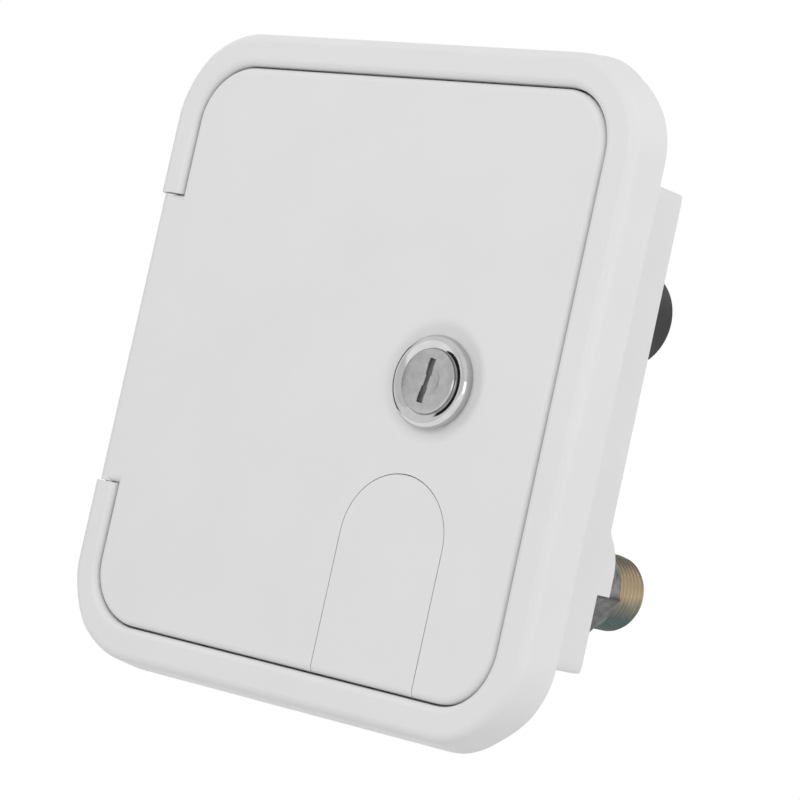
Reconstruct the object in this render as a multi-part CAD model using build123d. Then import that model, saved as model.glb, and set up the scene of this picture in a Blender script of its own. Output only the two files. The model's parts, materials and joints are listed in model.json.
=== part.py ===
from build123d import *
import math
import os

# Water inlet hatch for a caravan wall: a moulded housing with a hinged, locking door.
# Behind the door are a gravity fill spout with a screw cap and a mains inlet with a check valve.
# Millimetres. X is right as seen from the front, Y goes into the wall, Z is up.
# The origin is the middle of the screw pattern, on the outside face of the wall.

os.makedirs("parts", exist_ok=True)

# Housing flange, seen from the front
flange_w = 166.0
flange_h = 182.8
flange_corner_r = 27.0
flange_t = 10.5
flange_flare_deg = 10.5
flange_front_r = 2.9
flange_inner_r = 2.0
flange_skin = 2.5
channel_rib_t = 1.8
channel_rib_pitch = 32.0

# Rim round the door opening, and the ledge behind the door
rim_side = 11.2
rim_end = 11.05
rim_corner_step = 10.2
ledge_side = 13.6
ledge_end = 14.55
ledge_t = 3.0
screw_hole_inset = 4.8
screw_hole_drop = 28.35
screw_hole_r = 2.4

# Box behind the wall
box_depth = 46.4
box_wall = 2.5
box_corner_r = 3.0
box_rear_r = 1.2

# Door
door_sink = 0.5
door_gap = 0.65
door_t = 2.6
door_edge_r = 1.9
door_rib_h = 2.8
door_rib_t = 1.8
door_rib_inset = 5.0
tongue_share = 0.257
tongue_gap = 0.6
notch_floor = 2.8

# Door hinge: two short pins, one at each end of the tongue
hinge_inset = 5.2
knuckle_r = 2.9
pin_r = 1.5
pin_running_gap = 0.05
pin_in_tongue = 13.0
pin_in_flange = 12.0
pin_end_gap = 0.6
hinge_boss_len = 15.0

# Seal between the ledge and the door
seal_w = 3.6
seal_groove = 1.0
seal_offset = 0.4
rest_gap = 0.3

# Lock, placed by its distance from the side and by its share of the height over the flap
lock_to_opening = 39.0
lock_share = 0.23403
dish_r = 17.5
dish_depth = 1.8
collar_r = 12.1
collar_h = 3.0
collar_edge_r = 0.9
lock_barrel_r = 9.4
lock_flats = 15.8
lock_fit = 0.15
lock_barrel_len = 18.0
plug_head_r = 8.6
plug_head_proud = 1.8
plug_head_t = 3.6
plug_core_r = 6.92
plug_running_gap = 0.08
plug_dome = 0.5
keyway_len = 11.9
keyway_w = 2.0
keyway_depth = 6.0
keyway_tilt_deg = -8.0
lock_nut_af = 25.0
lock_nut_t = 3.5
cam_len = 21.5
cam_w = 11.0
cam_t = 2.0
cam_square = 6.0
cam_screw_r = 1.5
cam_screw_head_r = 3.4
cam_screw_head_t = 2.0
cam_screw_len = 6.0
strike_reach = 6.0
strike_t = 4.0
strike_h = 18.0

# Places of the two fittings in the box, and the hose flap in the door over the lower one
port_to_box_side = 27.9
inlet_to_box_foot = 23.8
fill_to_box_top = 31.5
flap_r = 17.45
flap_gap = 0.25
flap_lip = 1.3
flap_lip_t = 1.2
flap_pin_r = 0.8
flap_knuckle_r = 1.5
flap_pin_rise = 2.7
flap_lug_w = 4.0
flap_pin_gap = 0.05

# Gravity fill spout, black
spout_tail_r = 14.27
spout_tail_len = 26.3
spout_wall = 2.47
spout_flange_w = 8.5
spout_flange_t = 3.0
spout_neck_step = 1.23
spout_neck_len = 18.0
spout_barb_h = 0.9
spout_barb_pitch = 4.6
spout_barb_count = 3
spout_barb_start = 4.0
spout_screw_inset = 3.8
gasket_t = 0.5
wall_hole_gap = 0.5

# Fixing screws of both fittings
fix_screw_r = 1.6
fix_head_r = 3.0
fix_head_t = 1.8
fix_hole_gap = 0.25
fix_screw_len = 10.0
fix_boss_r = 3.6
fix_boss_len = 5.5

# Screw cap of the spout
cap_wall = 2.7
cap_top_t = 3.0
cap_skirt = 13.0
cap_fit = 0.4
cap_seal_t = 2.6
cap_flutes = 20
cap_flute_r = 1.5
cap_bar_w = 7.0
cap_bar_h = 5.0

# Mains inlet: hexagon check valve body with a threaded tail
inlet_flange_w = 8.05
inlet_screw_inset = 3.2
inlet_hex_af = 24.7
inlet_hex_tilt_deg = -7.6
inlet_hex_start = 11.6
inlet_hex_len = 18.6
inlet_hex_chamfer = 1.0
inlet_port_r = 5.6
nose_lip_w = 2.5
nose_lip_t = 2.5
nose_len = 17.4
chamber_wall = 2.55
seat_depth = 1.6
seat_slope = 1.4
socket_step = 0.6
socket_len = 8.6
thread_r = 10.67
thread_len = 15.4
thread_wall = 3.07
thread_chamfer = 0.8

# Raised pad round the inlet, with its buttress to the right wall of the box
pad_rim = 0.8
pad_t = 4.8
pad_hole_gap = 0.35
buttress_top = 15.3
buttress_full = 4.0
buttress_foot = -2.0

# Check valve
poppet_gap = 1.9
poppet_t = 2.5
poppet_seal_t = 0.8
stem_r = 1.6
stem_past_socket = 3.5
stem_gap = 0.06
guide_t = 2.0
guide_rim = 1.6
guide_hub_r = 3.2
guide_arm_w = 2.0
spring_r = 4.8
spring_wire_r = 0.45
spring_turns = 6

# Swivel collar for the hose
swivel_wall = 3.0
swivel_grip_len = 10.3
swivel_thread_r = 13.2
swivel_thread_len = 9.1
swivel_lobes = 6
swivel_lobe_cut_r = 7.0
swivel_lobe_depth = 1.0
hose_washer_t = 2.3
hose_washer_bore_r = 7.5
washer_recess = 0.5
swivel_gap = 0.3

# Housing and door sizes that follow from those above
flange_front = -flange_t
ledge_front = -ledge_t
opening_w = flange_w - 2 * rim_side
opening_h = flange_h - 2 * rim_end
opening_corner_r = flange_corner_r - rim_corner_step
box_w = opening_w - 2 * ledge_side
box_h = opening_h - 2 * ledge_end
wall_in = box_depth - box_wall
recess_w = box_w - 2 * box_wall
recess_h = box_h - 2 * box_wall
screw_pitch_x = opening_w - 2 * screw_hole_inset
screw_pitch_z = opening_h - 2 * screw_hole_drop
door_front = flange_front + door_sink
door_back = door_front + door_t
door_w = opening_w - 2 * door_gap
door_h = opening_h - 2 * door_gap
door_corner_r = opening_corner_r - door_gap
tongue_half = opening_h * tongue_share
hinge_x = -opening_w / 2 - hinge_inset
hinge_y = door_front + knuckle_r

# Lock and flap
port_x = box_w / 2 - port_to_box_side
inlet_z = -box_h / 2 + inlet_to_box_foot
flap_top = inlet_z + flap_r
lock_x = opening_w / 2 - lock_to_opening
lock_z = flap_top + lock_share * (opening_h / 2 - flap_top)
dish_floor = door_front + dish_depth
lock_boss_back = dish_floor + 3.0
collar_front = dish_floor - collar_h
plug_front = collar_front - plug_head_proud
plug_head_back = plug_front + plug_head_t
lock_barrel_rear = door_front + lock_barrel_len
cam_front = lock_barrel_rear + 1.3
flap_pin_z = -door_h / 2 + flap_pin_rise
flap_pin_y = door_back

# Fill spout and its cap
fill_z = box_h / 2 - fill_to_box_top
fitting_seat = wall_in - gasket_t
spout_bore_r = spout_tail_r - spout_wall
spout_neck_r = spout_tail_r + spout_neck_step
spout_flange_r = spout_neck_r + spout_flange_w
spout_screw_pcr = spout_flange_r - spout_screw_inset
tail_end = box_depth + spout_tail_len
neck_front = fitting_seat - spout_flange_t - spout_neck_len
cap_inside = neck_front - cap_seal_t - rest_gap
cap_r = spout_neck_r + cap_fit + cap_wall

# Mains inlet, from its nose to the end of its thread
inlet_flange_r = inlet_hex_af / 2 + inlet_flange_w
inlet_screw_pcr = inlet_flange_r - inlet_screw_inset
pad_r = inlet_flange_r + pad_rim
hex_corner_r = inlet_hex_af / 2 / math.cos(math.radians(30))
inlet_hex_front = box_depth + inlet_hex_start
inlet_hex_rear = inlet_hex_front + inlet_hex_len
chamber_r = inlet_hex_af / 2 - chamber_wall
socket_r = chamber_r + socket_step
socket_y = inlet_hex_rear - socket_len
nipple_front = socket_y + guide_t
thread_end = inlet_hex_rear + thread_len
thread_bore_r = thread_r - thread_wall
seat_y = box_depth + seat_depth
stem_end = socket_y + stem_past_socket
poppet_r = chamber_r - poppet_gap
nose_front = fitting_seat - nose_len
nose_lip_r = swivel_thread_r - 2.3
nose_r = nose_lip_r - nose_lip_w

# Swivel collar and its washer, from the back forwards
swivel_r = swivel_thread_r + swivel_wall
swivel_step = nose_front - swivel_gap
washer_front = swivel_step - hose_washer_t
swivel_thread_end = washer_front - rest_gap
swivel_front = swivel_thread_end - swivel_thread_len
swivel_rear = swivel_step + swivel_grip_len


def at(y):
    """Drawing plane at depth y, facing the front, with X across and Z up."""
    return Plane((0, y, 0), x_dir=(1, 0, 0), z_dir=(0, -1, 0))


def slab(outline, front, back):
    """Solid of an outline drawn in X and Z, between two depths."""
    return extrude(at(front) * outline, amount=front - back)


def rounded(w, h, r, x=0.0, z=0.0):
    return Pos(x, z) * RectangleRounded(w, h, r)


def disc(r, x, z):
    return Pos(x, z) * Circle(r)


def block(x0, x1, y0, y1, z0, z1):
    """Box between two corners."""
    middle = Pos((x0 + x1) / 2, (y0 + y1) / 2, (z0 + z1) / 2)
    return middle * Box(x1 - x0, y1 - y0, z1 - z0)


def turned(points, x, z):
    """Solid turned about the fore and aft line through x and z, from (radius, depth) points."""
    return turned_face(Polyline(*points, close=True), x, z)


def turned_face(outline, x, z):
    return Pos(x, 0, z) * revolve(make_face(outline), Axis.Y)


def ring_places(count, radius, x, z, first_deg=45.0):
    """Points spaced evenly on a circle, as (x, z)."""
    turns = [math.radians(first_deg + 360 / count * i) for i in range(count)]
    return [(x + radius * math.cos(a), z + radius * math.sin(a)) for a in turns]


def save(shape, node):
    shape.label = node
    export_step(shape, f"parts/{node}.step")


fill_screw_places = ring_places(4, spout_screw_pcr, port_x, fill_z)
inlet_screw_places = ring_places(4, inlet_screw_pcr, port_x, inlet_z)


def flange_shell():
    """Bezel of the housing: flared sides, rounded front edges and a hollow, ribbed back."""
    outline = at(0) * RectangleRounded(flange_w, flange_h, flange_corner_r)
    flange = extrude(outline, amount=flange_t, taper=flange_flare_deg)
    flange = fillet(flange.faces().sort_by(Axis.Y)[0].edges(), flange_front_r)
    flange -= slab(rounded(opening_w, opening_h, opening_corner_r), flange_front - 1, ledge_front)
    front = flange.faces().filter_by(Axis.Y).sort_by(Axis.Y)[0]
    return fillet(front.inner_wires()[0].edges(), flange_inner_r)


def flange_channel():
    """The hollow in the back of the flange, between its ribs and its hinge bosses."""
    flare = (flange_t - flange_skin) * math.tan(math.radians(flange_flare_deg))
    outer_w = flange_w - 2 * (flare + flange_skin)
    outer_h = flange_h - 2 * (flare + flange_skin)
    outer = rounded(outer_w, outer_h, flange_corner_r - flare - flange_skin)
    inner_r = opening_corner_r + flange_skin
    inner = rounded(opening_w + 2 * flange_skin, opening_h + 2 * flange_skin, inner_r)
    channel = slab(outer - inner, flange_front + flange_skin, 0.5)
    boss_z = tongue_half + hinge_boss_len
    channel -= block(-flange_w, -opening_w / 2, -flange_t, 1, -boss_z, boss_z)
    half = channel_rib_t / 2
    for i in (-2, -1, 0, 1, 2):
        place = i * channel_rib_pitch
        channel -= block(place - half, place + half, -flange_t, 1, -flange_h, flange_h)
        channel -= block(0, flange_w, -flange_t, 1, place - half, place + half)
    return channel


def buttress():
    """Ramped rib on the back wall, from the inlet pad to the right wall of the box."""
    full = box_depth + pad_t
    rise = buttress_top - buttress_full
    ramp_r = (pad_t**2 + rise**2) / (2 * pad_t)
    middle_z = buttress_full + rise / 2
    middle_y = full - ramp_r + math.sqrt(ramp_r**2 - (rise / 2) ** 2)
    side = Plane((port_x, 0, inlet_z), x_dir=(0, 1, 0), z_dir=(1, 0, 0))
    ramp = ThreePointArc((box_depth, buttress_top), (middle_y, middle_z), (full, buttress_full))
    lines = Polyline(
        (full, buttress_full),
        (full, buttress_foot),
        (wall_in + 1, buttress_foot),
        (wall_in + 1, buttress_top),
        (box_depth, buttress_top),
    )
    return extrude(side * make_face([ramp, lines]), amount=box_w / 2 - port_x)


def housing():
    body = flange_shell()
    box = slab(rounded(box_w, box_h, box_corner_r), ledge_front, box_depth)
    box = fillet(box.faces().sort_by(Axis.Y)[-1].edges(), box_rear_r)
    body += box
    body += buttress()
    body += slab(disc(pad_r, port_x, inlet_z), wall_in + 1, box_depth + pad_t)
    for x, z in fill_screw_places:
        body += slab(disc(fix_boss_r, x, z), wall_in + 1, box_depth + fix_boss_len)
    recess = rounded(recess_w, recess_h, box_corner_r - 0.5)
    body -= slab(recess, ledge_front - 1, wall_in)
    strike_back = cam_front - rest_gap
    body += block(
        recess_w / 2 - strike_reach,
        recess_w / 2 + 0.5,
        strike_back - strike_t,
        strike_back,
        lock_z - strike_h / 2,
        lock_z + strike_h / 2,
    )
    body -= flange_channel()
    body -= block(
        -flange_w,
        -opening_w / 2 + 0.01,
        flange_front - 1,
        -notch_floor,
        -tongue_half - tongue_gap,
        tongue_half + tongue_gap,
    )
    seal_hole = seal_outline(0.0)
    body -= slab(seal_hole, ledge_front - 1, ledge_front + seal_groove)
    for sx in (-1, 1):
        for sz in (-1, 1):
            hole = disc(screw_hole_r, sx * screw_pitch_x / 2, sz * screw_pitch_z / 2)
            body -= slab(hole, ledge_front - 1, 1)
    for side in (-1, 1):
        body -= hinge_bore(side)
    body -= slab(disc(spout_tail_r + wall_hole_gap, port_x, fill_z), wall_in - 1, box_depth + 1)
    inlet_hole = disc(hex_corner_r + pad_hole_gap, port_x, inlet_z)
    body -= slab(inlet_hole, wall_in - 1, box_depth + pad_t + 1)
    for x, z in fill_screw_places + inlet_screw_places:
        body -= slab(disc(fix_screw_r, x, z), wall_in - 1, fitting_seat + fix_screw_len - 2)
    return body


def seal_outline(shrink):
    """Ring that the door seal fills, round the mouth of the box."""
    inner_w = recess_w + 2 * (box_wall + seal_offset) + 2 * shrink
    inner_h = recess_h + 2 * (box_wall + seal_offset) + 2 * shrink
    outer_w = inner_w + 2 * seal_w - 4 * shrink
    outer_h = inner_h + 2 * seal_w - 4 * shrink
    corner = box_corner_r + seal_offset
    return rounded(outer_w, outer_h, corner + seal_w) - rounded(inner_w, inner_h, corner)


def hinge_bore(side):
    """Hole in one hinge boss of the flange, for the fixed end of a pin."""
    start = tongue_half + tongue_gap
    length = pin_in_flange - tongue_gap
    middle = side * (start + length / 2)
    return Pos(hinge_x, hinge_y, middle) * Cylinder(pin_r, length)


def hinge_pins():
    length = pin_in_tongue + pin_in_flange
    middle = tongue_half - pin_in_tongue + length / 2
    pins = [Pos(hinge_x, hinge_y, s * middle) * Cylinder(pin_r, length) for s in (-1, 1)]
    return Compound(children=[chamfer(p.edges(), 0.3) for p in pins])


def door_seal():
    """Rubber ring with a rounded lip, held in the groove of the ledge."""
    front = door_back + rest_gap
    ring = slab(seal_outline(0.0), front, ledge_front + seal_groove)
    lip = ring.faces().sort_by(Axis.Y)[0].edges()
    return fillet(lip, seal_w * 0.4)


def flap_outline(gap):
    """Round-topped outline of the hose port, cut back by a gap at its sides and top."""
    bottom = -door_h / 2
    r = flap_r - gap
    middle_z = (inlet_z + bottom) / 2
    leg = Pos(port_x, middle_z) * Rectangle(2 * r, inlet_z - bottom)
    return leg + disc(r, port_x, inlet_z)


def door_panel():
    """Door skin with its hinge tongue, lock dish, stiffening rib and flap hinge lugs."""
    skin = rounded(door_w, door_h, door_corner_r)
    reach = -door_w / 2 + 5
    tongue = Pos((hinge_x + reach) / 2, 0) * Rectangle(reach - hinge_x, 2 * tongue_half)
    door = slab(skin + tongue, door_front, door_back)
    edges = door.faces().sort_by(Axis.Y)[0].edges()
    door = fillet(edges.filter_by(lambda e: e.center().X > hinge_x + 0.1), door_edge_r)
    door += Pos(hinge_x, hinge_y, 0) * Cylinder(knuckle_r, 2 * tongue_half)

    rib_w = door_w - 2 * door_rib_inset
    rib_h = door_h - 2 * door_rib_inset
    rib_r = door_corner_r - door_rib_inset
    rib = rounded(rib_w, rib_h, rib_r)
    rib -= rounded(rib_w - 2 * door_rib_t, rib_h - 2 * door_rib_t, rib_r - door_rib_t)
    lug_reach = flap_r + flap_lug_w
    rib -= Pos(port_x, -door_h / 2) * Rectangle(2 * lug_reach, flap_r)
    door += slab(rib, door_back - 0.2, door_back + door_rib_h)

    door += slab(disc(dish_r + 1, lock_x, lock_z), door_back - 0.2, lock_boss_back)
    door += flap_rails()
    door -= slab(flap_outline(0.0), door_front - 1, door_back)
    door -= lock_dish()
    hole = disc(lock_barrel_r + lock_fit, lock_x, lock_z)
    hole &= Pos(lock_x, lock_z) * Rectangle(lock_flats + 2 * lock_fit, 3 * lock_barrel_r)
    door -= slab(hole, door_front - 1, lock_boss_back + 1)
    for side in (-1, 1):
        bore_len = pin_in_tongue + pin_end_gap
        middle = side * (tongue_half - bore_len / 2 + 0.01)
        door -= Pos(hinge_x, hinge_y, middle) * Cylinder(pin_r + pin_running_gap, bore_len)
    pin_hole = Cylinder(flap_pin_r, 2 * lug_reach + 2, rotation=(0, 90, 0))
    return door - Pos(port_x, flap_pin_y, flap_pin_z) * pin_hole


def flap_rails():
    """Lugs for the flap's pin, and the rails behind the port's sides that the flap closes on."""
    rails = []
    rail_back = door_back + rest_gap + flap_lip_t
    rail_foot = -box_h / 2 + box_wall
    lug_top = flap_pin_z + flap_knuckle_r
    lug_foot = flap_pin_z - flap_knuckle_r
    for side in (-1, 1):
        edge = port_x + side * flap_r
        x0, x1 = sorted((edge - side * flap_lip, edge + side * 1.5))
        rails.append(block(x0, x1, door_back - 0.2, rail_back, rail_foot, inlet_z))
        x0, x1 = sorted((edge, edge + side * flap_lug_w))
        rails.append(block(x0, x1, door_back - 0.2, door_back + flap_knuckle_r, lug_foot, lug_top))
    shelf = block(
        port_x - flap_r,
        port_x + flap_r,
        door_back - 0.2,
        door_back + rest_gap,
        rail_foot,
        inlet_z,
    )
    kept = rails[0] + rails[1] + rails[2] + rails[3]
    return kept - shelf


def lock_dish():
    """Shallow dish that sinks smoothly from the door's face to the seat of the lock collar."""
    floor_r = collar_r + 0.5
    slope = Spline(
        (dish_r, door_front),
        (floor_r, dish_floor),
        tangents=((-1, 0), (-1, 0)),
    )
    rest = Polyline((floor_r, dish_floor), (0, dish_floor), (0, door_front - 1), (dish_r, door_front - 1))
    close = Line((dish_r, door_front - 1), (dish_r, door_front))
    return turned_face([slope, rest, close], lock_x, lock_z)


def hose_flap():
    """Round-topped flap that drops outwards about a pin along the bottom edge of the door."""
    flap = slab(flap_outline(flap_gap), door_front, door_back)
    foot = flap.edges().filter_by(Axis.X).sort_by(Axis.Y)[0]
    flap = fillet(foot, door_edge_r)
    knuckle_w = 2 * (flap_r - flap_gap)
    turn = (0, 90, 0)
    flap += Pos(port_x, flap_pin_y, flap_pin_z) * Cylinder(flap_knuckle_r, knuckle_w, rotation=turn)
    bore = Cylinder(flap_pin_r + flap_pin_gap, knuckle_w + 2, rotation=turn)
    return flap - Pos(port_x, flap_pin_y, flap_pin_z) * bore


def flap_pin():
    length = 2 * (flap_r + flap_lug_w)
    return Pos(port_x, flap_pin_y, flap_pin_z) * Cylinder(flap_pin_r, length, rotation=(0, 90, 0))


def lock_body():
    """Chrome collar in one with the flatted barrel that passes through the door."""
    collar = slab(disc(collar_r, lock_x, lock_z), collar_front, dish_floor)
    collar = fillet(collar.faces().sort_by(Axis.Y)[0].edges(), collar_edge_r)
    barrel = slab(disc(lock_barrel_r, lock_x, lock_z), dish_floor - 0.5, lock_barrel_rear)
    flats = Pos(lock_x, lock_z) * Rectangle(lock_flats, 3 * lock_barrel_r)
    barrel &= slab(flats, dish_floor - 0.5, lock_barrel_rear)
    body = collar + barrel
    head_room = disc(plug_head_r + plug_running_gap, lock_x, lock_z)
    body -= slab(head_room, collar_front - 1, plug_head_back + plug_running_gap)
    core_room = disc(plug_core_r + plug_running_gap, lock_x, lock_z)
    return body - slab(core_room, collar_front, lock_barrel_rear + 1)


def lock_nut():
    """Hexagon nut that clamps the lock to the back of the door."""
    outline = Pos(lock_x, lock_z) * RegularPolygon(lock_nut_af / 2, 6, major_radius=False)
    hole = disc(lock_barrel_r + 0.02, lock_x, lock_z)
    return slab(outline - hole, lock_boss_back, lock_boss_back + lock_nut_t)


def keyway():
    """Key slot, slightly narrower across its middle."""
    slot = Rectangle(keyway_w, keyway_len)
    for side in (-1, 1):
        slot -= Pos(side * (keyway_w / 2 + 0.1), 0) * Rectangle(0.8, keyway_len / 4)
    turned_slot = Pos(lock_x, lock_z) * Rot(0, 0, keyway_tilt_deg) * slot
    return slab(turned_slot, plug_front - 1, plug_front + keyway_depth)


def lock_plug():
    """Turning core of the lock: domed head, round core and a square tail for the cam."""
    edge_y = plug_front + plug_dome
    face = ThreePointArc(
        (0, plug_front),
        (plug_head_r / 2, plug_front + plug_dome / 4),
        (plug_head_r - 0.3, edge_y),
    )
    rest = Polyline(
        (plug_head_r - 0.3, edge_y),
        (plug_head_r, edge_y + 0.3),
        (plug_head_r, plug_head_back),
        (plug_core_r, plug_head_back),
        (plug_core_r, cam_front),
        (0, cam_front),
        (0, plug_front),
    )
    plug = turned_face([face, rest], lock_x, lock_z)
    tail = Pos(lock_x, lock_z) * Rectangle(cam_square, cam_square)
    plug += slab(tail, cam_front - 0.5, cam_front + cam_t)
    screw_room = disc(cam_screw_r, lock_x, lock_z)
    screw_start = cam_front + cam_t - cam_screw_len
    return plug - keyway() - slab(screw_room, screw_start, cam_front + cam_t + 1)


def lock_cam():
    """Flat cam that hangs down when the door is free and turns behind the strike to lock it."""
    reach = cam_len - cam_w / 2
    arm = Pos(lock_x, lock_z - reach / 2) * Rectangle(cam_w, reach)
    outline = disc(cam_w / 2 + 1.5, lock_x, lock_z) + arm + disc(cam_w / 2, lock_x, lock_z - reach)
    outline -= Pos(lock_x, lock_z) * Rectangle(cam_square, cam_square)
    return slab(outline, cam_front, cam_front + cam_t)


def cam_screw():
    back = cam_front + cam_t
    points = [
        (0, back - cam_screw_len),
        (cam_screw_r, back - cam_screw_len),
        (cam_screw_r, back),
        (cam_screw_head_r + 1, back),
        (cam_screw_head_r + 1, back + 0.5),
        (cam_screw_head_r, back + cam_screw_head_t),
        (0, back + cam_screw_head_t),
    ]
    screw = turned(points, lock_x, lock_z)
    slot = Pos(lock_x, lock_z) * Rectangle(1.0, 2 * cam_screw_head_r + 3)
    return screw - slab(slot, back + cam_screw_head_t - 0.9, back + cam_screw_head_t + 1)


def fill_spout():
    """Black spout: threaded neck inside, screwed flange, barbed hose tail behind the wall."""
    flange_front_y = fitting_seat - spout_flange_t
    points = [
        (spout_bore_r, neck_front),
        (spout_neck_r - 0.8, neck_front),
        (spout_neck_r, neck_front + 0.8),
        (spout_neck_r, flange_front_y),
        (spout_flange_r, flange_front_y),
        (spout_flange_r, fitting_seat),
        (spout_tail_r, fitting_seat),
    ]
    barb_zone = box_depth + spout_barb_start
    for i in range(spout_barb_count):
        y = barb_zone + i * spout_barb_pitch
        points.append((spout_tail_r, y))
        points.append((spout_tail_r + spout_barb_h, y))
        points.append((spout_tail_r, y + spout_barb_pitch * 0.9))
    points.append((spout_tail_r, tail_end - 0.5))
    points.append((spout_tail_r - 0.5, tail_end))
    points.append((spout_bore_r, tail_end))
    spout = turned(points, port_x, fill_z)
    for x, z in fill_screw_places:
        hole = disc(fix_screw_r + fix_hole_gap, x, z)
        spout -= slab(hole, flange_front_y - 1, fitting_seat + 1)
    return spout


def gasket(outer_r, inner_r, z, places):
    """Flat rubber ring between a fitting's flange and the back wall."""
    outline = disc(outer_r, port_x, z) - disc(inner_r, port_x, z)
    for x, y in places:
        outline -= disc(fix_screw_r + fix_hole_gap, x, y)
    return slab(outline, fitting_seat, wall_in)


def fixing_screws(places, head_seat):
    """Pan-head screws of one fitting."""
    screws = []
    for x, z in places:
        points = [
            (0, head_seat - fix_head_t),
            (fix_head_r - 0.8, head_seat - fix_head_t),
            (fix_head_r, head_seat - 0.7),
            (fix_head_r, head_seat),
            (fix_screw_r, head_seat),
            (fix_screw_r, head_seat + fix_screw_len - 1.5),
            (0, head_seat + fix_screw_len),
        ]
        screw = turned(points, x, z)
        for turn in (0, 90):
            slot = Pos(x, z) * Rot(0, 0, turn) * Rectangle(0.9, 3.4)
            screw -= slab(slot, head_seat - fix_head_t - 1, head_seat - fix_head_t + 1.1)
        screws.append(screw)
    return Compound(children=screws)


def fill_cap():
    """Screw cap with a fluted skirt and a bar across its face to turn it by."""
    top = cap_inside - cap_top_t
    inner_r = spout_neck_r + cap_fit
    points = [
        (0, top),
        (cap_r - 1.5, top),
        (cap_r, top + 1.5),
        (cap_r, cap_inside + cap_skirt),
        (inner_r, cap_inside + cap_skirt),
        (inner_r, cap_inside),
        (0, cap_inside),
    ]
    cap = turned(points, port_x, fill_z)
    bar = Pos(port_x, fill_z) * SlotOverall(2 * cap_r - 6, cap_bar_w)
    cap += slab(bar, top - cap_bar_h, top + 0.5)
    flute_centre = cap_r + cap_flute_r * 0.45
    for x, z in ring_places(cap_flutes, flute_centre, port_x, fill_z):
        cap -= slab(disc(cap_flute_r, x, z), top + 2.5, cap_inside + cap_skirt + 1)
    return cap


def fill_cap_seal():
    outline = disc(spout_neck_r - 0.2, port_x, fill_z) - disc(spout_bore_r, port_x, fill_z)
    return slab(outline, cap_inside, cap_inside + cap_seal_t)


def check_valve_body():
    """Cast body: lipped nose for the swivel, screwed flange, and a hexagon behind the wall."""
    flange_front_y = fitting_seat - spout_flange_t
    barrel_r = inlet_hex_af / 2 - 0.2
    points = [
        (0, nose_front),
        (nose_lip_r, nose_front),
        (nose_lip_r, nose_front + nose_lip_t),
        (nose_r, nose_front + nose_lip_t),
        (nose_r, flange_front_y),
        (inlet_flange_r, flange_front_y),
        (inlet_flange_r, fitting_seat),
        (barrel_r, fitting_seat),
        (barrel_r, inlet_hex_rear - 1),
        (0, inlet_hex_rear - 1),
    ]
    body = turned(points, port_x, inlet_z)
    hexagon = RegularPolygon(inlet_hex_af / 2, 6, major_radius=False)
    placed = Pos(port_x, inlet_z) * Rot(0, 0, inlet_hex_tilt_deg + 30) * hexagon
    hex_body = slab(placed, inlet_hex_front, inlet_hex_rear)
    chamfer_r = hex_corner_r - 1.7 * inlet_hex_chamfer
    hex_body &= turned(
        [
            (0, inlet_hex_front),
            (chamfer_r, inlet_hex_front),
            (hex_corner_r, inlet_hex_front + inlet_hex_chamfer),
            (hex_corner_r, inlet_hex_rear - inlet_hex_chamfer),
            (chamfer_r, inlet_hex_rear),
            (0, inlet_hex_rear),
        ],
        port_x,
        inlet_z,
    )
    body += hex_body
    seat_end = seat_y + (chamber_r - inlet_port_r) / seat_slope
    body -= turned(
        [
            (0, nose_front - 1),
            (inlet_port_r, nose_front - 1),
            (inlet_port_r, seat_y),
            (chamber_r, seat_end),
            (chamber_r, socket_y),
            (socket_r, socket_y),
            (socket_r, inlet_hex_rear + 1),
            (0, inlet_hex_rear + 1),
        ],
        port_x,
        inlet_z,
    )
    for x, z in inlet_screw_places:
        hole = disc(fix_screw_r + fix_hole_gap, x, z)
        body -= slab(hole, flange_front_y - 1, fitting_seat + 1)
    return body


def threaded_nipple():
    """Brass pipe-thread tail, fixed in the rear of the valve body. Its fine thread is plain here."""
    points = [
        (thread_bore_r, nipple_front),
        (socket_r, nipple_front),
        (socket_r, inlet_hex_rear),
        (thread_r, inlet_hex_rear),
        (thread_r, thread_end - thread_chamfer),
        (thread_r - thread_chamfer, thread_end),
        (thread_bore_r, thread_end),
    ]
    return turned(points, port_x, inlet_z)


def seat_radius(y, inset):
    """Radius of a line that lies inset from the valve's conical seat, at depth y."""
    slant = math.sqrt(1 + seat_slope**2)
    return inlet_port_r + seat_slope * (y - seat_y) - inset * slant


def valve_poppet():
    inset = rest_gap + poppet_seal_t
    disc_front = seat_y + 2.0
    points = [
        (0, seat_y),
        (seat_radius(seat_y, inset), seat_y),
        (seat_radius(disc_front, inset), disc_front),
        (poppet_r, disc_front),
        (poppet_r, disc_front + poppet_t),
        (stem_r, disc_front + poppet_t),
        (stem_r, stem_end),
        (0, stem_end),
    ]
    return turned(points, port_x, inlet_z)


def poppet_seal():
    """Conical rubber ring on the poppet, that closes on the seat."""
    front, back = seat_y + 0.6, seat_y + 2.0
    inset = rest_gap + poppet_seal_t
    points = [
        (seat_radius(front, inset), front),
        (seat_radius(front, rest_gap), front),
        (seat_radius(back, rest_gap), back),
        (seat_radius(back, inset), back),
    ]
    return turned(points, port_x, inlet_z)


def valve_guide():
    """Spider held between the body and the nipple, that guides the poppet's stem."""
    outline = disc(socket_r, port_x, inlet_z) - disc(socket_r - guide_rim, port_x, inlet_z)
    outline += disc(guide_hub_r, port_x, inlet_z)
    arm_len = socket_r - guide_rim / 2
    for i in range(3):
        arm = Pos(arm_len / 2, 0) * Rectangle(arm_len, guide_arm_w)
        outline += Pos(port_x, inlet_z) * Rot(0, 0, 90 + 120 * i) * arm
    outline -= disc(stem_r + stem_gap, port_x, inlet_z)
    return slab(outline, socket_y, socket_y + guide_t)


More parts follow.
